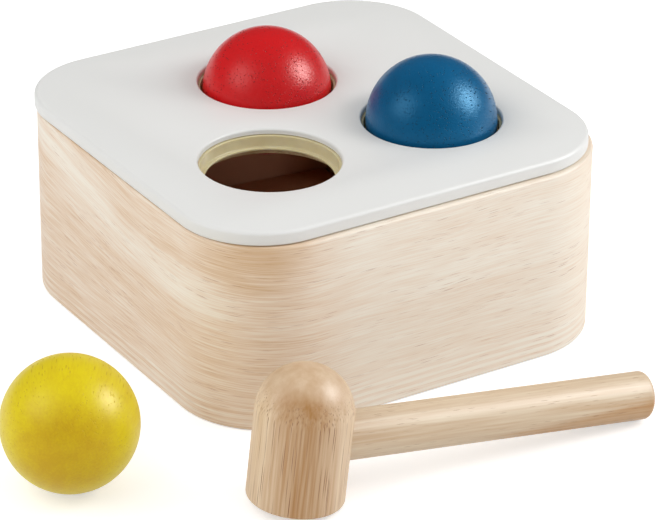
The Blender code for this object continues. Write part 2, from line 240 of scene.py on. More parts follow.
def wood_figure(tree, grain, band, fibre, pore, pore_gap, pore_run):
    """Growth bands, fibres and pores, each from 0 to 1. The grain runs along the third coordinate, in mm."""
    figure = []
    for across, along, detail in (
        (band, BAND_STRETCH * band, BAND_DETAIL),
        (fibre, FIBRE_STRETCH * fibre, FIBRE_DETAIL),
    ):
        place = add_node(tree, "ShaderNodeMapping",
                         {"Vector": grain, "Scale": (1 / across, 1 / across, 1 / along)})
        noise = add_node(tree, "ShaderNodeTexNoise",
                         {"Vector": place, "Scale": 1.0, "Detail": detail})
        clear = add_node(tree, "ShaderNodeMapRange",
                         {"Value": noise, "From Min": NOISE_LOW, "From Max": NOISE_HIGH})
        figure.append(clear)
    place = add_node(tree, "ShaderNodeMapping",
                     {"Vector": grain, "Scale": (1 / pore_gap, 1 / pore_gap, 1 / pore_run)})
    cells = add_node(tree, "ShaderNodeTexVoronoi", {"Vector": place, "Scale": 1.0})
    pores = add_node(tree, "ShaderNodeMapRange",
                     {"Value": cells, "From Min": PORE_CORE * pore / pore_gap,
                      "From Max": pore / pore_gap, "To Min": 1.0, "To Max": 0.0},
                     interpolation_type="SMOOTHSTEP")
    figure.append(pores)
    return figure


# Clear-lacquered rubberwood: pinkish tan and cream, with fine fibres and short reddish vessel lines along
# the grain. A broad cream band sinks across the left side, and thin light lines follow the lower edge.
# From the front face round to the back joint the wood is painted lighter and paler, as painted light, and
# from the front right corner on it turns darker tan, as painted shade. High on the front left corner a
# browner area is partly the wood's colour and partly painted shade. The inner face is painted a darker brown,
# as painted shade inside the box. Sizes are in millimetres along the strip and up.
WALL_CREAM = "F8EFE0"
WALL_PINK = "EDD7C0"
WALL_TAN = "DCBB96"
WALL_PAINTED_LIGHT = "FBF7EE"
WALL_VESSEL = "A5653A"
WALL_INSIDE_SHADE = "C89472"
SINK_START = 70.0
SINK_END = 190.0
SINK_LOW = 2.0
SINK_HIGH = 62.0
BAND_SINK = 21.0
GRAIN_SINK = 0.5
SWAY = 5.0
SWAY_ALONG = 70.0
SWAY_ACROSS = 40.0
BAND_HEIGHT = 48.0
BAND_SPREAD = 13.0
BAND_LIGHT = 0.65
BAND_ON_FRONT = 0.2
BAND_STREAKS = 0.8
BANDS_SHARE = 0.3
FIBRES_SHARE = 0.6
FRONT_PAINTED_LIGHT = 0.3
FRONT_PAINTED_PALE = 0.22
PINK_TONE = 0.5
CREAM_START = 0.45
FRONT_START = 235.0
FRONT_END = 265.0
STRIPE_GAP = 2.55
STRIPE_HEIGHT = 5.05
STRIPE_RISE = 1.35
STRIPE_TOP = 9.2
STRIPE_TOP_EDGE = 0.3
STRIPE_TROUGH = -0.4
STRIPE_DARK = -0.12
STRIPE_LIGHT = 0.4
STRIPE_ON_SIDE = 0.55
PATCH_PLACE = 222.0
PATCH_HEIGHT = 64.0
PATCH_LENGTH = 26.0
PATCH_SPREAD = 40.0
PATCH_WOOD_AND_SHADE_DARK = 0.35
END_START = 340.0
END_END = 372.0
END_PAINTED_SHADE = 0.22
CLUSTER_ACROSS = 6.0
CLUSTER_ALONG = 40.0
CLUSTER_LOW = 0.4
CLUSTER_HIGH = 0.65
CLUSTER_FAINT = 0.15
CLUSTER_STRONG = 0.8

wall_wood, tree, shader = new_material("rubberwood_clear_satin_lacquer")
place = add_node(tree, "ShaderNodeUVMap", {}, uv_map="grain")
strip_mm = add_node(tree, "ShaderNodeMapping", {"Vector": place, "Scale": (MM_PER_METRE, MM_PER_METRE, 1)})
flat = add_node(tree, "ShaderNodeSeparateXYZ", {"Vector": strip_mm})
along = flat.outputs["X"]
height = flat.outputs["Y"]
sink = add_node(tree, "ShaderNodeMapRange",
                {"Value": along, "From Min": SINK_START, "From Max": SINK_END,
                 "To Min": BAND_SINK, "To Max": 0.0},
                interpolation_type="SMOOTHSTEP")
share = add_node(tree, "ShaderNodeMapRange", {"Value": height, "From Min": SINK_LOW, "From Max": SINK_HIGH},
                 interpolation_type="SMOOTHSTEP")
drop = add_node(tree, "ShaderNodeMath", {0: sink, 1: share}, operation="MULTIPLY")
sway_place = add_node(tree, "ShaderNodeMapping",
                      {"Vector": strip_mm, "Scale": (1 / SWAY_ALONG, 1 / SWAY_ACROSS, 1)})
sway = add_node(tree, "ShaderNodeTexNoise", {"Vector": sway_place, "Scale": 1.0, "Detail": 1.0})
level = add_node(tree, "ShaderNodeMath", {0: sway, 1: SWAY, 2: height}, operation="MULTIPLY_ADD")
grain_level = add_node(tree, "ShaderNodeMath", {0: drop, 1: -GRAIN_SINK, 2: level},
                       operation="MULTIPLY_ADD")
grain = add_node(tree, "ShaderNodeCombineXYZ", {"X": grain_level, "Z": along})
bands, fibres, pores = wood_figure(tree, grain, band=5.0, fibre=0.45,
                                   pore=0.09, pore_gap=0.4, pore_run=14.0)

band_level = add_node(tree, "ShaderNodeMath", {0: level, 1: drop}, operation="SUBTRACT")
off_band = add_node(tree, "ShaderNodeMath", {0: band_level, 1: BAND_HEIGHT}, operation="SUBTRACT")
off_band = add_node(tree, "ShaderNodeMath", {0: off_band}, operation="ABSOLUTE")
light_band = add_node(tree, "ShaderNodeMapRange",
                      {"Value": off_band, "From Min": 0.0, "From Max": BAND_SPREAD,
                       "To Min": BAND_LIGHT, "To Max": 0.0},
                      interpolation_type="SMOOTHSTEP")
front = add_node(tree, "ShaderNodeMapRange",
                 {"Value": along, "From Min": FRONT_START, "From Max": FRONT_END},
                 interpolation_type="SMOOTHSTEP")
side = add_node(tree, "ShaderNodeMapRange", {"Value": front, "To Min": 1.0, "To Max": BAND_ON_FRONT})
light_band = add_node(tree, "ShaderNodeMath", {0: light_band, 1: side}, operation="MULTIPLY")
streaks = add_node(tree, "ShaderNodeMath", {0: bands, 1: BAND_STREAKS, 2: 1 - BAND_STREAKS},
                   operation="MULTIPLY_ADD")
light_band = add_node(tree, "ShaderNodeMath", {0: light_band, 1: streaks}, operation="MULTIPLY")

stripe_level = add_node(tree, "ShaderNodeMath", {0: front, 1: -STRIPE_RISE, 2: height},
                        operation="MULTIPLY_ADD")
stripe_turn = add_node(tree, "ShaderNodeMath",
                       {0: stripe_level, 1: math.tau / STRIPE_GAP, 2: -math.tau * STRIPE_HEIGHT / STRIPE_GAP},
                       operation="MULTIPLY_ADD")
stripe = add_node(tree, "ShaderNodeMath", {0: stripe_turn}, operation="COSINE")
stripe = add_node(tree, "ShaderNodeMapRange",
                  {"Value": stripe, "From Min": STRIPE_TROUGH, "To Min": STRIPE_DARK, "To Max": STRIPE_LIGHT})
stripe_share = add_node(tree, "ShaderNodeMapRange",
                        {"Value": stripe_level, "From Min": STRIPE_TOP - STRIPE_TOP_EDGE,
                         "From Max": STRIPE_TOP, "To Min": 1.0, "To Max": 0.0})
stripes = add_node(tree, "ShaderNodeMath", {0: stripe, 1: stripe_share}, operation="MULTIPLY")
stripe_fade = add_node(tree, "ShaderNodeMapRange", {"Value": front, "To Min": STRIPE_ON_SIDE, "To Max": 1.0})
stripes = add_node(tree, "ShaderNodeMath", {0: stripes, 1: stripe_fade}, operation="MULTIPLY")

tone = add_node(tree, "ShaderNodeMath", {0: bands, 1: BANDS_SHARE, 2: stripes}, operation="MULTIPLY_ADD")
tone = add_node(tree, "ShaderNodeMath", {0: fibres, 1: FIBRES_SHARE, 2: tone}, operation="MULTIPLY_ADD")
tone = add_node(tree, "ShaderNodeMath", {0: tone, 1: light_band})
# Painted light: from the front face round to the back joint the tone is raised.
tone = add_node(tree, "ShaderNodeMath", {0: front, 1: FRONT_PAINTED_LIGHT, 2: tone}, operation="MULTIPLY_ADD")
# Painted shade, partly: a browner spot high on the front left corner under the lid, partly the wood's own
# colour.
off_patch = add_node(tree, "ShaderNodeMapping",
                     {"Vector": strip_mm, "Scale": (1 / PATCH_LENGTH, 1 / PATCH_SPREAD, 1),
                      "Location": (-PATCH_PLACE / PATCH_LENGTH, -PATCH_HEIGHT / PATCH_SPREAD, 0)})
off_patch = add_node(tree, "ShaderNodeVectorMath", {0: off_patch}, operation="LENGTH")
wood_and_shade_patch = add_node(tree, "ShaderNodeMapRange",
                 {"Value": off_patch.outputs["Value"], "To Min": PATCH_WOOD_AND_SHADE_DARK, "To Max": 0.0},
                 interpolation_type="SMOOTHSTEP")
tone = add_node(tree, "ShaderNodeMath", {0: tone, 1: wood_and_shade_patch}, operation="SUBTRACT")
lower = add_node(tree, "ShaderNodeMapRange", {"Value": tone, "From Min": 0.0, "From Max": PINK_TONE})
upper = add_node(tree, "ShaderNodeMapRange", {"Value": tone, "From Min": CREAM_START, "From Max": 1.0})
wood = add_node(tree, "ShaderNodeMix", {0: lower, 6: srgb(WALL_TAN), 7: srgb(WALL_PINK)}, data_type="RGBA")
wood = add_node(tree, "ShaderNodeMix", {0: upper, 6: wood, 7: srgb(WALL_CREAM)}, data_type="RGBA")
# Painted light: the same stretch is mixed towards a paler tint.
painted_light = add_node(tree, "ShaderNodeMath", {0: front, 1: FRONT_PAINTED_PALE}, operation="MULTIPLY")
wood = add_node(tree, "ShaderNodeMix", {0: painted_light, 6: wood, 7: srgb(WALL_PAINTED_LIGHT)}, data_type="RGBA")
# Painted shade: from the front right corner round to the back joint the wood turns darker tan.
painted_end_shade = add_node(tree, "ShaderNodeMapRange",
                  {"Value": along, "From Min": END_START, "From Max": END_END, "To Max": END_PAINTED_SHADE},
                  interpolation_type="SMOOTHSTEP")
wood = add_node(tree, "ShaderNodeMix", {0: painted_end_shade, 6: wood, 7: srgb(WALL_TAN)}, data_type="RGBA")
cluster_place = add_node(tree, "ShaderNodeMapping",
                         {"Vector": grain, "Scale": (1 / CLUSTER_ACROSS, 1, 1 / CLUSTER_ALONG)})
cluster = add_node(tree, "ShaderNodeTexNoise", {"Vector": cluster_place, "Scale": 1.0})
cluster = add_node(tree, "ShaderNodeMapRange",
                   {"Value": cluster, "From Min": CLUSTER_LOW, "From Max": CLUSTER_HIGH,
                    "To Min": CLUSTER_FAINT, "To Max": CLUSTER_STRONG})
vessels = add_node(tree, "ShaderNodeMath", {0: pores, 1: cluster}, operation="MULTIPLY")
outside = add_node(tree, "ShaderNodeMix", {0: vessels, 6: wood, 7: srgb(WALL_VESSEL)}, data_type="RGBA")
# Painted shade: the inner face gets a darker brown for the shade inside the box.
inner = add_node(tree, "ShaderNodeAttribute", {}, attribute_name="inner_face")
finish = add_node(tree, "ShaderNodeMix", {0: inner.outputs["Fac"], 6: outside, 7: srgb(WALL_INSIDE_SHADE)},
                  data_type="RGBA")
set_inputs(tree, shader, {"Base Color": finish, "Roughness": 0.5, "Specular IOR Level": 0.3})
add_piece("wall_strip", strip, wall_wood, "bent_wood", "box", "side_wall")


# Boards inside the box: the base, the board under the lid and the two cleats are birch plywood, the ramp is
# brown hardboard whose deep brown is partly painted shade, and the posts are sawn rubberwood. All are sanded
# on their edges, glued and screwed.
BOARD_EASE = 0.0003
BOARD_EASE_STEPS = 2
BOARD_SPECKS = 0.4
BOARD_LIGHT = "E6CFA8"
BOARD_DARK = "CDAE82"
BOARD_PORE = "A17B50"
COPLANAR = math.radians(1)


def eased_copy(node):
    """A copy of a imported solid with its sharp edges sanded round."""
    bm = bmesh.new()
    bm.from_mesh(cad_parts[node].data)
    bmesh.ops.remove_doubles(bm, verts=bm.verts[:], dist=MERGE)
    bmesh.ops.dissolve_limit(bm, angle_limit=COPLANAR, verts=bm.verts[:], edges=bm.edges[:])
    sharp = [edge for edge in bm.edges if edge.calc_face_angle(0) > SHARP_ANGLE]
    bmesh.ops.bevel(bm, geom=sharp, offset=BOARD_EASE, segments=BOARD_EASE_STEPS, profile=0.5,
                    affect="EDGES", material=-1, clamp_overlap=True)
    return bm


def board_wood(name, turn):
    """Dull tan board wood, banded and specked, with its grain along the axis that a turn brings to Z."""
    material, tree, shader = new_material(name)
    place = add_node(tree, "ShaderNodeTexCoord", {})
    grain = add_node(tree, "ShaderNodeMapping",
                     {"Vector": place.outputs["Object"], "Rotation": turn, "Scale": [MM_PER_METRE] * 3})
    bands, fibres, pores = wood_figure(tree, grain, band=8.0, fibre=0.8,
                                       pore=0.15, pore_gap=0.8, pore_run=8.0)
    tone = add_node(tree, "ShaderNodeMath", {0: bands, 1: fibres})
    tone = add_node(tree, "ShaderNodeMath", {0: tone, 1: 0.5}, operation="SUBTRACT", use_clamp=True)
    wood = add_node(tree, "ShaderNodeMix", {0: tone, 6: srgb(BOARD_DARK), 7: srgb(BOARD_LIGHT)},
                    data_type="RGBA")
    specks = add_node(tree, "ShaderNodeMath", {0: pores, 1: BOARD_SPECKS}, operation="MULTIPLY")
    finish = add_node(tree, "ShaderNodeMix",
                      {0: specks, 6: wood, 7: srgb(BOARD_PORE)}, data_type="RGBA")
    set_inputs(tree, shader, {"Base Color": finish, "Roughness": 0.65})
    return material


# Brown hardboard with a fine fibrous speckle, for the ramp. Its deep brown is partly the board's colour and
# partly painted shade for the dark inside of the box.
HARDBOARD_AND_SHADE_LIGHT = "C68456"
HARDBOARD_AND_SHADE_DARK = "B6784C"
SPECKLES_PER_METRE = 1500.0

hardboard_and_shade, tree, shader = new_material("brown_hardboard_and_shade")
place = add_node(tree, "ShaderNodeTexCoord", {})
speckle = add_node(tree, "ShaderNodeTexNoise",
                   {"Vector": place.outputs["Object"], "Scale": SPECKLES_PER_METRE, "Detail": 3.0})
brown = add_node(tree, "ShaderNodeMix",
                 {0: speckle, 6: srgb(HARDBOARD_AND_SHADE_DARK), 7: srgb(HARDBOARD_AND_SHADE_LIGHT)}, data_type="RGBA")
set_inputs(tree, shader, {"Base Color": brown, "Roughness": 0.55})

plywood = board_wood("birch_plywood_sanded", (0, -math.pi / 2, 0))
sawn_wood = board_wood("rubberwood_sawn", (0, 0, 0))
for node, material in (
    ("base_board", plywood),
    ("ramp_board", hardboard_and_shade),
    ("ring_board", plywood),
    ("ramp_cleat_front", plywood),
    ("ramp_cleat_back", plywood),
    ("corner_post_front", sawn_wood),
    ("corner_post_back", sawn_wood),
    ("exit_post_front", sawn_wood),
    ("exit_post_back", sawn_wood),
):
    add_piece(f"{node}_wood", eased_copy(node), material, "board_wood", "box", node)


# Lid: a thin board with a rounded upper edge and three round holes, sprayed with off-white satin lacquer.
# It is screwed from below through the board under it, so nothing shows on top.
LID_CORNER = 0.0306
LID_TOP_ROUND = 0.0013
LID_BOTTOM_ROUND = 0.0009
HOLE_RADIUS = 0.0246
HOLE_ROUND = 0.0009
HOLE_LIP = 0.002
SEAT_RADIUS = 0.0268
HOLE_STEPS = 96
LID_ROUND_STEPS = 6
FLARE_STEPS = 8
FLARE_LIFT = 0.00002
LID_WHITE = "E9E9E7"
LID_SHADE = "E6E6E3"
PEEL_PER_METRE = 900.0
PEEL_STRENGTH = 0.05
PEEL_DEPTH = 0.0002
SHADE_PER_METRE = 25.0

lid_low, lid_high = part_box("lid")
ring_places = {}
for node in ("ring_front_left", "ring_front_right", "ring_back"):
    ring_low, ring_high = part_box(node)
    ring_places[node] = (ring_low + ring_high) / 2


def turn_profile(points, steps, closed=False):
    """A profile of radii and heights, turned about Z."""
    bm = bmesh.new()
    verts = [bm.verts.new((radius, 0, height)) for radius, height in points]
    edges = [bm.edges.new(pair) for pair in zip(verts, verts[1:])]
    if closed:
        edges.append(bm.edges.new((verts[-1], verts[0])))
    bmesh.ops.spin(bm, geom=verts + edges, axis=(0, 0, 1), angle=math.tau, steps=steps, use_merge=True)
    bmesh.ops.remove_doubles(bm, verts=bm.verts[:], dist=MERGE)
    return bm


def arc(centre_radius, centre_height, radius, start, end, steps):
    """Points of an arc in a profile, with its angles in degrees and both ends included."""
    angles = [math.radians(start + (end - start) * i / steps) for i in range(steps + 1)]
    return [(centre_radius + radius * math.cos(a), centre_height + radius * math.sin(a)) for a in angles]


lid = bmesh.new()
lid_face = lid.faces.new([
    lid.verts.new((x, y, lid_low.z))
    for x, y in ((lid_low.x, lid_low.y), (lid_high.x, lid_low.y),
                 (lid_high.x, lid_high.y), (lid_low.x, lid_high.y))
])
bmesh.ops.bevel(lid, geom=lid_face.verts[:], offset=LID_CORNER, segments=BEND_STEPS, profile=0.5,
                affect="VERTICES", material=-1)
raised = bmesh.ops.extrude_face_region(lid, geom=lid.faces[:], use_keep_orig=True)["geom"]
bmesh.ops.translate(lid, verts=[part for part in raised if isinstance(part, bmesh.types.BMVert)],
                    vec=(0, 0, lid_high.z - lid_low.z))
for level, radius in ((lid_high.z, LID_TOP_ROUND), (lid_low.z, LID_BOTTOM_ROUND)):
    rim = [edge for edge in lid.edges if all(abs(v.co.z - level) < MERGE for v in edge.verts)]
    bmesh.ops.bevel(lid, geom=rim, offset=radius, segments=LID_ROUND_STEPS, profile=0.5, affect="EDGES",
                    material=-1)
for place in ring_places.values():
    flare = arc(HOLE_RADIUS + HOLE_ROUND, lid_high.z - HOLE_ROUND + FLARE_LIFT, HOLE_ROUND,
                90, 180, FLARE_STEPS)
    hole = [(0, lid_high.z + CUT_MARGIN), (HOLE_RADIUS + HOLE_ROUND, lid_high.z + CUT_MARGIN)] + flare
    hole += [(HOLE_RADIUS, lid_high.z - HOLE_LIP), (SEAT_RADIUS, lid_high.z - HOLE_LIP)]
    hole += [(SEAT_RADIUS, lid_low.z - CUT_MARGIN), (0, lid_low.z - CUT_MARGIN)]
    bore = turn_profile(hole, HOLE_STEPS)
    bmesh.ops.translate(bore, verts=bore.verts[:], vec=(place.x, place.y, 0))
    lid = cut(lid, bore)

# Sprayed satin lacquer: an even off-white with a faint orange peel about a millimetre across.
lacquer, tree, shader = new_material("off_white_satin_lacquer")
place = add_node(tree, "ShaderNodeTexCoord", {})
peel = add_node(tree, "ShaderNodeTexNoise",
                {"Vector": place.outputs["Object"], "Scale": PEEL_PER_METRE, "Detail": 1.0})
shade = add_node(tree, "ShaderNodeTexNoise",
                 {"Vector": place.outputs["Object"], "Scale": SHADE_PER_METRE, "Detail": 2.0})
white = add_node(tree, "ShaderNodeMix", {0: shade, 6: srgb(LID_SHADE), 7: srgb(LID_WHITE)}, data_type="RGBA")
bump = add_node(tree, "ShaderNodeBump", {"Height": peel, "Strength": PEEL_STRENGTH, "Distance": PEEL_DEPTH})
set_inputs(tree, shader, {"Base Color": white, "Normal": bump, "Roughness": 0.42, "Specular IOR Level": 0.35})
add_piece("lid_board", lid, lacquer, "lid_lacquer", "box", "lid")


# Elastic rings: each hole has a moulded sleeve of translucent cream rubber, trapped by its flange between
# the lid and the board below. Its lower lip grips the ball, and stretches when the ball is hit.
RING_INNER = 0.0237
RING_SLEEVE = 0.025
RING_EASE = 0.00015
RING_LIP_HEIGHT = 0.0009
RING_LIP_EDGE = 0.0002
RING_FILLET = 0.0002
RING_EASE_STEPS = 3
EMPTY_LIP = 0.0223
BALL_RADIUS = 0.023
BALL_TOUCH = 0.00005
RUBBER_DEEP = "CFBF93"
RUBBER_LIGHT = "DFD5B0"
CLOUDS_PER_METRE = 180.0

# Cream rubber, faintly cloudy, in which light spreads a little so that its edges look soft.
rubber, tree, shader = new_material("translucent_cream_elastomer")
place = add_node(tree, "ShaderNodeTexCoord", {})
cloud = add_node(tree, "ShaderNodeTexNoise",
                 {"Vector": place.outputs["Object"], "Scale": CLOUDS_PER_METRE, "Detail": 2.0})
cream = add_node(tree, "ShaderNodeMix", {0: cloud, 6: srgb(RUBBER_DEEP), 7: srgb(RUBBER_LIGHT)},
                 data_type="RGBA")
set_inputs(tree, shader, {"Base Color": cream, "Roughness": 0.35, "Subsurface Weight": 0.4,
                          "Subsurface Radius": (1.0, 0.8, 0.4), "Subsurface Scale": 0.002})
for node, held in (("ring_front_left", None), ("ring_front_right", "blue_ball"), ("ring_back", "red_ball")):
    ring_low, ring_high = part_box(node)
    flange = (ring_high.x - ring_low.x) / 2
    lip_top = ring_low.z + RING_LIP_HEIGHT
    lip = EMPTY_LIP
    if held:
        ball_low, ball_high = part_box(held)
        lip = math.sqrt(BALL_RADIUS ** 2 - ((ball_low.z + ball_high.z) / 2 - lip_top) ** 2) + BALL_TOUCH
    ring = turn_profile([
        (flange, ring_high.z),
        (flange, lid_low.z),
        (RING_SLEEVE, lid_low.z),
        (RING_SLEEVE, ring_low.z),
        (lip + RING_LIP_EDGE, ring_low.z),
        (lip, ring_low.z + RING_LIP_EDGE),
        (lip, lip_top),
        (RING_INNER - RING_FILLET, lip_top),
        (RING_INNER, lip_top + RING_FILLET),
        (RING_INNER, ring_high.z),
    ], HOLE_STEPS, closed=True)
    corners = [edge for edge in ring.edges if edge.calc_face_angle(0) > SHARP_ANGLE]
    bmesh.ops.bevel(ring, geom=corners, offset=RING_EASE, segments=RING_EASE_STEPS, profile=0.5,
                    affect="EDGES", material=-1, clamp_overlap=True)
    bmesh.ops.translate(ring, verts=ring.verts[:], vec=(ring_places[node].x, ring_places[node].y, 0))
    add_piece(f"{node}_rubber", ring, rubber, "ring_elastomer", "box", node)


# Screws: zinc-plated countersunk wood screws with a cross recess. Four come up through the base, four go down
# through the board under the lid into the posts, and four hold the lid from below.
SCREW_HEAD = 0.0032
SCREW_SHANK = 0.0016
SCREW_CORE = 0.0012
SCREW_HEAD_HEIGHT = 0.0018
SCREW_TIP = 0.002
THREAD_PITCH = 0.0014
RECESS_LENGTH = 0.0034
RECESS_WIDTH = 0.0008
RECESS_DEPTH = 0.0013
SCREW_STEPS = 24
SCREWS_OF_A_KIND = 4
ZINC = "C4C4C0"
SPOTS_PER_METRE = 700.0
ZINC_BRIGHT = 0.25
ZINC_DULL = 0.5

# Grey zinc plate that shines in some spots and is dull in others.
zinc, tree, shader = new_material("zinc_plated_steel")
place = add_node(tree, "ShaderNodeTexCoord", {})
plate = add_node(tree, "ShaderNodeTexNoise",
                 {"Vector": place.outputs["Object"], "Scale": SPOTS_PER_METRE, "Detail": 2.0})
dull = add_node(tree, "ShaderNodeMapRange", {"Value": plate, "To Min": ZINC_BRIGHT, "To Max": ZINC_DULL})
set_inputs(tree, shader, {"Base Color": srgb(ZINC), "Metallic": 1.0, "Roughness": dull})


def screw(length):
    """A screw with its head's face at height 0 and its tip at its length."""
    points = [(0, 0), (SCREW_HEAD, 0), (SCREW_SHANK, SCREW_HEAD_HEIGHT)]
    height = SCREW_HEAD_HEIGHT + THREAD_PITCH / 2
    while height < length - SCREW_TIP - THREAD_PITCH / 2:
        points += [(SCREW_CORE, height), (SCREW_SHANK, height + THREAD_PITCH / 2)]
        height += THREAD_PITCH
    points += [(SCREW_CORE, length - SCREW_TIP), (0, length)]
    bm = turn_profile(points, SCREW_STEPS)
    for width, breadth in ((RECESS_LENGTH, RECESS_WIDTH), (RECESS_WIDTH, RECESS_LENGTH)):
        slot = bmesh.new()
        bmesh.ops.create_cube(slot, size=1.0)
        bmesh.ops.scale(slot, verts=slot.verts[:], vec=(width, breadth, 2 * RECESS_DEPTH))
        bm = cut(bm, slot)
    return bm


for kind, head_up in (("base_screw", False), ("post_screw", True), ("lid_screw", False)):
    for number in range(1, SCREWS_OF_A_KIND + 1):
        node = f"{kind}_{number}"
        low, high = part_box(node)
        shape = screw(high.z - low.z)
        if head_up:
            bmesh.ops.rotate(shape, verts=shape.verts[:], matrix=Matrix.Rotation(math.pi, 3, "X"))
        bmesh.ops.translate(shape, verts=shape.verts[:],
                            vec=((low.x + high.x) / 2, (low.y + high.y) / 2, high.z if head_up else low.z))
        add_piece(f"{node}_steel", shape, zinc, "screw_steel", "box", node)


# Balls: turned rubberwood, dyed and sealed with a thin satin lacquer. Two are gripped by rings in the lid.
# The open pores stay darker: they are dots where the end grain faces out, and dashes along the sides.
BALL_STEPS = 96
END_GRAIN_START = 0.5
END_GRAIN_FULL = 0.98
SIDE_TONE = 0.6
END_GRAIN_AND_SHADE_TONE = -0.2
BALL_FIGURE = 0.3
BALL_CLUSTER_ACROSS = 9
BALL_CLUSTER_ALONG = 60
BALL_CLUSTER_LOW = 0.35
BALL_CLUSTER_HIGH = 0.5
PORE_DULL = 0.65
PORE_RELIEF = -6.0


def stained_wood(name, bright, deep, pore, gloss, ior, roughness, relief_depth, turn, middle):
    """Dyed wood: a strong colour, a tinted satin shine and sunken darker pores.

    Its grain runs along Z before a turn about the ball's middle, and its end grain is darker in colour:
    partly the dye, and partly painted shade, since the turns point the end grain at the middle that faces the
    camera.
    """
    material, tree, shader = new_material(name)
    place = add_node(tree, "ShaderNodeTexCoord", {})
    local = add_node(tree, "ShaderNodeMapping",
                     {"Vector": place.outputs["Object"], "Location": middle, "Rotation": turn},
                     vector_type="TEXTURE")
    grain = add_node(tree, "ShaderNodeMapping", {"Vector": local, "Scale": [MM_PER_METRE] * 3})
    bands, fibres, pores = wood_figure(tree, grain, band=5.0, fibre=0.7,
                                       pore=0.22, pore_gap=0.85, pore_run=8.0)
    across = 1 / BALL_CLUSTER_ACROSS
    cluster_place = add_node(tree, "ShaderNodeMapping",
                             {"Vector": grain, "Scale": (across, across, 1 / BALL_CLUSTER_ALONG)})
    cluster = add_node(tree, "ShaderNodeTexNoise", {"Vector": cluster_place, "Scale": 1.0, "Detail": 1.0})
    cluster = add_node(tree, "ShaderNodeMapRange",
                       {"Value": cluster, "From Min": BALL_CLUSTER_LOW, "From Max": BALL_CLUSTER_HIGH})
    pores = add_node(tree, "ShaderNodeMath", {0: pores, 1: cluster}, operation="MULTIPLY")
    flat = add_node(tree, "ShaderNodeSeparateXYZ", {"Vector": local})
    facing = add_node(tree, "ShaderNodeMath", {0: flat.outputs["Z"]}, operation="ABSOLUTE")
    # Painted shade, partly: the end grain, which the turns point at the camera, is darker in colour.
    end_grain_and_shade = add_node(tree, "ShaderNodeMapRange",
                          {"Value": facing, "From Min": END_GRAIN_START * BALL_RADIUS,
                           "From Max": END_GRAIN_FULL * BALL_RADIUS, "To Min": SIDE_TONE, "To Max": END_GRAIN_AND_SHADE_TONE},
                          interpolation_type="SMOOTHSTEP")
    tone = add_node(tree, "ShaderNodeMath", {0: bands, 1: fibres})
    tone = add_node(tree, "ShaderNodeMath", {0: tone, 1: BALL_FIGURE, 2: end_grain_and_shade},
                    operation="MULTIPLY_ADD", use_clamp=True)
    dyed = add_node(tree, "ShaderNodeMix", {0: tone, 6: srgb(deep), 7: srgb(bright)}, data_type="RGBA")
    finish = add_node(tree, "ShaderNodeMix", {0: pores, 6: dyed, 7: srgb(pore)}, data_type="RGBA")
    dull = add_node(tree, "ShaderNodeMapRange", {"Value": pores, "To Min": roughness, "To Max": PORE_DULL})
    relief = add_node(tree, "ShaderNodeMath", {0: pores, 1: PORE_RELIEF, 2: fibres}, operation="MULTIPLY_ADD")
    bump = add_node(tree, "ShaderNodeBump", {"Height": relief, "Strength": 1.0, "Distance": relief_depth})
    set_inputs(tree, shader, {"Base Color": finish, "Roughness": dull, "Normal": bump, "IOR": ior,
                              "Specular Tint": srgb(gloss)})
    return material


for node, bright, deep, pore, gloss, ior, roughness, relief_depth, turn in (
    ("red_ball", "D40B13", "C60A11", "7A0A0F", "FFDAD6", 1.52, 0.32, 0.000035, (1.2, 0.0, -0.5)),
    ("blue_ball", "025A88", "004E78", "01243E", "86D4FF", 1.63, 0.32, 0.000035, (1.1, 0.0, -1.0)),
    ("yellow_ball", "E4CE06", "CCA40A", "CEAE10", "FFF8D8", 1.43, 0.39, 0.000015, (1.57, 0.0, -0.56)),
):
    low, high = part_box(node)
    middle = (low + high) / 2
    ball = turn_profile(arc(0, 0, BALL_RADIUS, -90, 90, BALL_STEPS // 2), BALL_STEPS)
    bmesh.ops.translate(ball, verts=ball.verts[:], vec=middle)
    colour = node.split("_")[0]
    dyed = stained_wood(f"{colour}_stained_rubberwood", bright, deep, pore, gloss, ior, roughness,
                        relief_depth, turn, middle)
    add_piece(f"{node}_wood", ball, dyed, node, node, node)


# Hammer: a turned head with one flat and one domed face, bored from the side, and a straight dowel glued
# into it. Both are clear-lacquered rubberwood, the head from darker stock with long open vessels.
HAMMER_PLACE = (-0.0789, -0.1185, 0.0016053)
HAMMER_LEAN = math.radians(6.0772)
HAMMER_YAW = math.radians(-5.7)
HEAD_RADIUS = 0.0163
HEAD_STRAIGHT = 0.031
HEAD_EDGE = 0.0012
HANDLE_RADIUS = 0.00825
HANDLE_REACH = 0.1293
HANDLE_HEIGHT = 0.0202
HANDLE_END_ROUND = 0.002
SOCKET_DEPTH = 0.006
SOCKET_CUT = 0.03
SOCKET_FLOOR_GAP = 0.0003
GLUE_LINE = 0.00004
HAMMER_STEPS = 96
EDGE_STEPS = 6
DOME_STEPS = 24
HAMMER_BAND = 4.0
HAMMER_FIBRE = 0.8
HEART_AND_SHADE_DARK = 0.43
HEART_AND_SHADE_CORE = 0.3
FILL_FADE = 8.0
HEART_AND_SHADE_FADE_START = 4.0
HEART_AND_SHADE_FADE_END = 11.0
SEAL_PAST_EDGE = 3
FADED = 0.1
PLAIN_TONE = 0.42
FIBRE_TONE = 0.36
BAND_TONE = 0.25
VESSEL_CLUSTER_ACROSS = 4
VESSEL_CLUSTER_ALONG = 80
VESSEL_LOW = 0.4
VESSEL_HIGH = 0.6
VESSEL_FAINT = 0.25

hammer_turn = Matrix.Rotation(HAMMER_YAW, 4, "Z") @ Matrix.Rotation(HAMMER_LEAN, 4, "Y")
hammer_pose = Matrix.Translation(HAMMER_PLACE) @ hammer_turn
handle_pose = Matrix.Translation((-SOCKET_DEPTH, 0, HANDLE_HEIGHT)) @ Matrix.Rotation(math.pi / 2, 4, "Y")


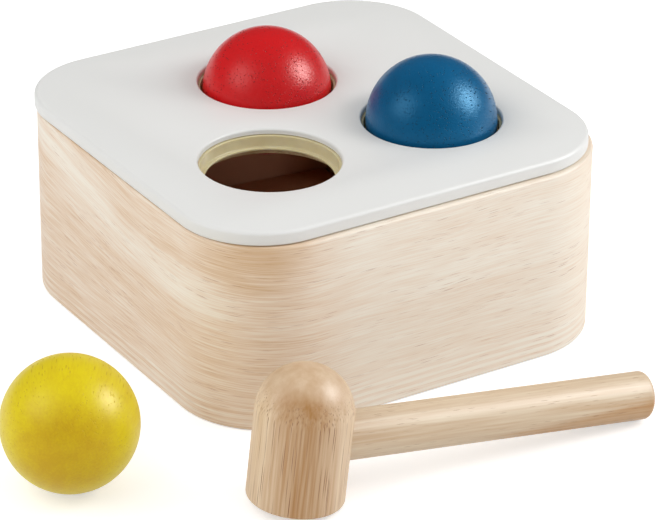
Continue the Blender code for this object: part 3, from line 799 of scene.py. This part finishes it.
def clear_wood(name, pose, light, tan, pore, pore_sizes, heart_and_shade, heart_and_shade_lean, heart_and_shade_radius, sealed):
    """Clear-lacquered wood: tan to cream along its fibres, with brown vessel lines and a darker heartwood
    column.

    Its grain runs along Z before a pose. The column lies beside that axis, with its place, lean and radius;
    on the head it also serves as painted shade on the side facing the camera. Past the height given as sealed
    the lacquer fills the vessels and the column fades. Lengths in mm.
    """
    material, tree, shader = new_material(name)
    place = add_node(tree, "ShaderNodeTexCoord", {})
    local = add_node(tree, "ShaderNodeMapping",
                     {"Vector": place.outputs["Object"], "Location": pose.to_translation(),
                      "Rotation": pose.to_euler()}, vector_type="TEXTURE")
    grain = add_node(tree, "ShaderNodeMapping", {"Vector": local, "Scale": [MM_PER_METRE] * 3})
    bands, fibres, pores = wood_figure(tree, grain, HAMMER_BAND, HAMMER_FIBRE, *pore_sizes)
    off_heart_and_shade = add_node(tree, "ShaderNodeMapping",
                         {"Vector": grain, "Location": (-heart_and_shade[0], -heart_and_shade[1], 0), "Rotation": heart_and_shade_lean})
    off_heart_and_shade = add_node(tree, "ShaderNodeMapping", {"Vector": off_heart_and_shade, "Scale": (1, 1, 0)})
    off_heart_and_shade = add_node(tree, "ShaderNodeVectorMath", {0: off_heart_and_shade}, operation="LENGTH")
    # Darker heartwood column, also painted shade where it faces the camera on the head.
    dark = add_node(tree, "ShaderNodeMapRange",
                    {"Value": off_heart_and_shade.outputs["Value"], "From Min": HEART_AND_SHADE_CORE * heart_and_shade_radius,
                     "From Max": heart_and_shade_radius, "To Min": HEART_AND_SHADE_DARK, "To Max": 0.0},
                    interpolation_type="SMOOTHSTEP")
    flat = add_node(tree, "ShaderNodeSeparateXYZ", {"Vector": grain})
    filled = add_node(tree, "ShaderNodeMapRange",
                      {"Value": flat.outputs["Z"], "From Min": sealed, "From Max": sealed + FILL_FADE,
                       "To Min": 1.0, "To Max": FADED})
    heart_and_shade_end = add_node(tree, "ShaderNodeMapRange",
                         {"Value": flat.outputs["Z"], "From Min": sealed + HEART_AND_SHADE_FADE_START,
                          "From Max": sealed + HEART_AND_SHADE_FADE_END, "To Min": 1.0, "To Max": FADED},
                         interpolation_type="SMOOTHSTEP")
    dark = add_node(tree, "ShaderNodeMath", {0: dark, 1: heart_and_shade_end}, operation="MULTIPLY")
    tone = add_node(tree, "ShaderNodeMath", {0: fibres, 1: filled}, operation="MULTIPLY")
    tone = add_node(tree, "ShaderNodeMath", {0: tone, 1: FIBRE_TONE, 2: PLAIN_TONE}, operation="MULTIPLY_ADD")
    tone = add_node(tree, "ShaderNodeMath", {0: bands, 1: BAND_TONE, 2: tone}, operation="MULTIPLY_ADD")
    tone = add_node(tree, "ShaderNodeMath", {0: tone, 1: dark}, operation="SUBTRACT", use_clamp=True)
    wood = add_node(tree, "ShaderNodeMix", {0: tone, 6: srgb(tan), 7: srgb(light)}, data_type="RGBA")
    across = 1 / VESSEL_CLUSTER_ACROSS
    cluster_place = add_node(tree, "ShaderNodeMapping",
                             {"Vector": grain, "Scale": (across, across, 1 / VESSEL_CLUSTER_ALONG)})
    cluster = add_node(tree, "ShaderNodeTexNoise", {"Vector": cluster_place, "Scale": 1.0})
    cluster = add_node(tree, "ShaderNodeMapRange",
                       {"Value": cluster, "From Min": VESSEL_LOW, "From Max": VESSEL_HIGH,
                        "To Min": VESSEL_FAINT, "To Max": 1.0})
    vessels = add_node(tree, "ShaderNodeMath", {0: pores, 1: cluster}, operation="MULTIPLY")
    vessels = add_node(tree, "ShaderNodeMath", {0: vessels, 1: filled}, operation="MULTIPLY")
    finish = add_node(tree, "ShaderNodeMix", {0: vessels, 6: wood, 7: srgb(pore)}, data_type="RGBA")
    set_inputs(tree, shader, {"Base Color": finish, "Roughness": 0.47, "Specular IOR Level": 0.52})
    return material


head_profile = [(0, 0)] + arc(HEAD_RADIUS - HEAD_EDGE, HEAD_EDGE, HEAD_EDGE, -90, 0, EDGE_STEPS)
head_profile += arc(0, HEAD_STRAIGHT, HEAD_RADIUS, 0, 90, DOME_STEPS)
head = turn_profile(head_profile, HAMMER_STEPS)
socket_radius = HANDLE_RADIUS + GLUE_LINE
socket_profile = [(0, 0), (socket_radius, 0), (socket_radius, SOCKET_CUT), (0, SOCKET_CUT)]
socket = turn_profile(socket_profile, HAMMER_STEPS)
bmesh.ops.transform(socket, matrix=handle_pose, verts=socket.verts[:])
head = cut(head, socket)
bmesh.ops.transform(head, matrix=hammer_pose, verts=head.verts[:])
# The head's darker column faces the camera: partly heartwood, partly painted shade between the two side
# lights.
head_wood = clear_wood(
    "rubberwood_dark_stock_lacquered", hammer_pose,
    light="EED8BA", tan="B07A38", pore="82420E", pore_sizes=(0.17, 0.5, 26.0),
    heart_and_shade=(-5.2, -13.2), heart_and_shade_lean=(0.02, 0, 0), heart_and_shade_radius=14.0,
    sealed=HEAD_STRAIGHT * MM_PER_METRE + SEAL_PAST_EDGE,
)
add_piece("hammer_head_wood", head, head_wood, "hammer_head_wood", "hammer", "hammer_head")

handle_length = HANDLE_REACH + SOCKET_DEPTH
handle_profile = [(0, SOCKET_FLOOR_GAP), (HANDLE_RADIUS, SOCKET_FLOOR_GAP)]
handle_profile += arc(HANDLE_RADIUS - HANDLE_END_ROUND, handle_length - HANDLE_END_ROUND, HANDLE_END_ROUND,
                      0, 90, EDGE_STEPS)
handle_profile.append((0, handle_length))
handle = turn_profile(handle_profile, HAMMER_STEPS)
bmesh.ops.transform(handle, matrix=hammer_pose @ handle_pose, verts=handle.verts[:])
handle_wood = clear_wood(
    "rubberwood_pale_dowel_lacquered", hammer_pose @ handle_pose,
    light="E2D0B5", tan="BA8850", pore="9A6A40", pore_sizes=(0.08, 0.4, 10.0),
    heart_and_shade=(18.0, -13.0), heart_and_shade_lean=(0.048, 0.122, 0), heart_and_shade_radius=6.5,
    sealed=HANDLE_REACH * MM_PER_METRE,
)
add_piece("hammer_handle_wood", handle, handle_wood, "hammer_handle_wood", "hammer", "hammer_handle")


# Stage: a plain white floor that keeps the object's soft shadow, a soft box on the right and a wider one on
# the left, two bright cards that only show as glints, and an even surround that looks dim in reflections.
FLOOR_SIZE = 12.0
FLOOR_DROP = 0.0002
FLOOR_LIFT = 0.5
FLOOR_WHITE = "E4E4E4"
LIGHT_WHITE = "FFFFFF"
KEY_PLACE = (0.69, -0.44, 0.58)
KEY_SIZE = 0.5
KEY_POWER = 3.8
KEY_CARD_SIZE = 0.44
KEY_CARD_POWER = 12.5
FILL_PLACE = (-0.74, 0.02, 0.67)
FILL_SIZE = 0.9
FILL_POWER = 3.3
FILL_CARD_PLACE = (-0.79, 0.08, 0.62)
FILL_CARD_SIZE = 0.55
FILL_CARD_POWER = 2.2
SURROUND = 0.64
SURROUND_GLOSS = 0.08

floor_mesh = bmesh.new()
bmesh.ops.create_grid(floor_mesh, x_segments=1, y_segments=1, size=FLOOR_SIZE / 2)
bmesh.ops.translate(floor_mesh, verts=floor_mesh.verts[:], vec=(0, 0, -FLOOR_DROP))
paper = bpy.data.meshes.new("floor")
floor_mesh.to_mesh(paper)
floor_mesh.free()
floor = bpy.data.objects.new("floor", paper)
bpy.context.scene.collection.objects.link(floor)

# Matt white card, lifted a little where it is looked at, so that it fades into white beside the shadow.
card, tree, shader = new_material("white_card")
path = add_node(tree, "ShaderNodeLightPath", {})
seen = add_node(tree, "ShaderNodeMath", {0: path.outputs["Is Camera Ray"], 1: path.outputs["Is Glossy Ray"]})
seen = add_node(tree, "ShaderNodeMath", {0: seen, 1: path.outputs["Is Transmission Ray"]})
lift = add_node(tree, "ShaderNodeMath", {0: seen, 1: FLOOR_LIFT}, operation="MULTIPLY")
set_inputs(tree, shader, {"Base Color": srgb(FLOOR_WHITE), "Roughness": 0.9, "Specular IOR Level": 0.0,
                          "Emission Color": srgb(LIGHT_WHITE), "Emission Strength": lift})
paper.materials.append(card)

for name, place, size, power, mirrored in (
    ("key", KEY_PLACE, KEY_SIZE, KEY_POWER, False),
    ("key_card", KEY_PLACE, KEY_CARD_SIZE, KEY_CARD_POWER, True),
    ("fill", FILL_PLACE, FILL_SIZE, FILL_POWER, False),
    ("fill_card", FILL_CARD_PLACE, FILL_CARD_SIZE, FILL_CARD_POWER, True),
):
    lamp = bpy.data.lights.new(name, "AREA")
    lamp.shape = "SQUARE"
    lamp.size = size
    lamp.energy = power
    light = bpy.data.objects.new(name, lamp)
    light.location = place
    light.rotation_euler = Vector(place).to_track_quat("Z", "Y").to_euler()
    light.visible_glossy = mirrored
    light.visible_diffuse = not mirrored
    bpy.context.scene.collection.objects.link(light)

surround = bpy.data.worlds.new("surround")
surround.use_nodes = True
tree = surround.node_tree
path = add_node(tree, "ShaderNodeLightPath", {})
strength = add_node(tree, "ShaderNodeMapRange",
                    {"Value": path.outputs["Is Glossy Ray"], "To Min": SURROUND, "To Max": SURROUND_GLOSS})
set_inputs(tree, tree.nodes["Background"], {"Color": srgb(LIGHT_WHITE), "Strength": strength})
bpy.context.scene.world = surround


# Camera: a long lens that looks down on the box's front left corner from over a metre away.
# It is rolled by less than half a degree.
CAMERA_AIM = (-0.02218, -0.0464, 0.04104)
CAMERA_AZIMUTH = math.radians(-31.95)
CAMERA_ELEVATION = math.radians(27.225)
CAMERA_ROLL = math.radians(0.405)
CAMERA_DISTANCE = 1.27237
CAMERA_LENS = 204.83
SENSOR_WIDTH = 36.0

camera_data = bpy.data.cameras.new("camera")
camera_data.sensor_fit = "HORIZONTAL"
camera_data.sensor_width = SENSOR_WIDTH
camera_data.lens = CAMERA_LENS
camera = bpy.data.objects.new("camera", camera_data)
turned = Matrix.Rotation(CAMERA_AZIMUTH, 4, "Z") @ Matrix.Rotation(math.pi / 2 - CAMERA_ELEVATION, 4, "X")
camera.matrix_world = (Matrix.Translation(CAMERA_AIM) @ turned @ Matrix.Rotation(CAMERA_ROLL, 4, "Z")
                       @ Matrix.Translation((0, 0, CAMERA_DISTANCE)))
bpy.context.scene.collection.objects.link(camera)
bpy.context.scene.camera = camera
bpy.context.scene.view_settings.view_transform = "Standard"
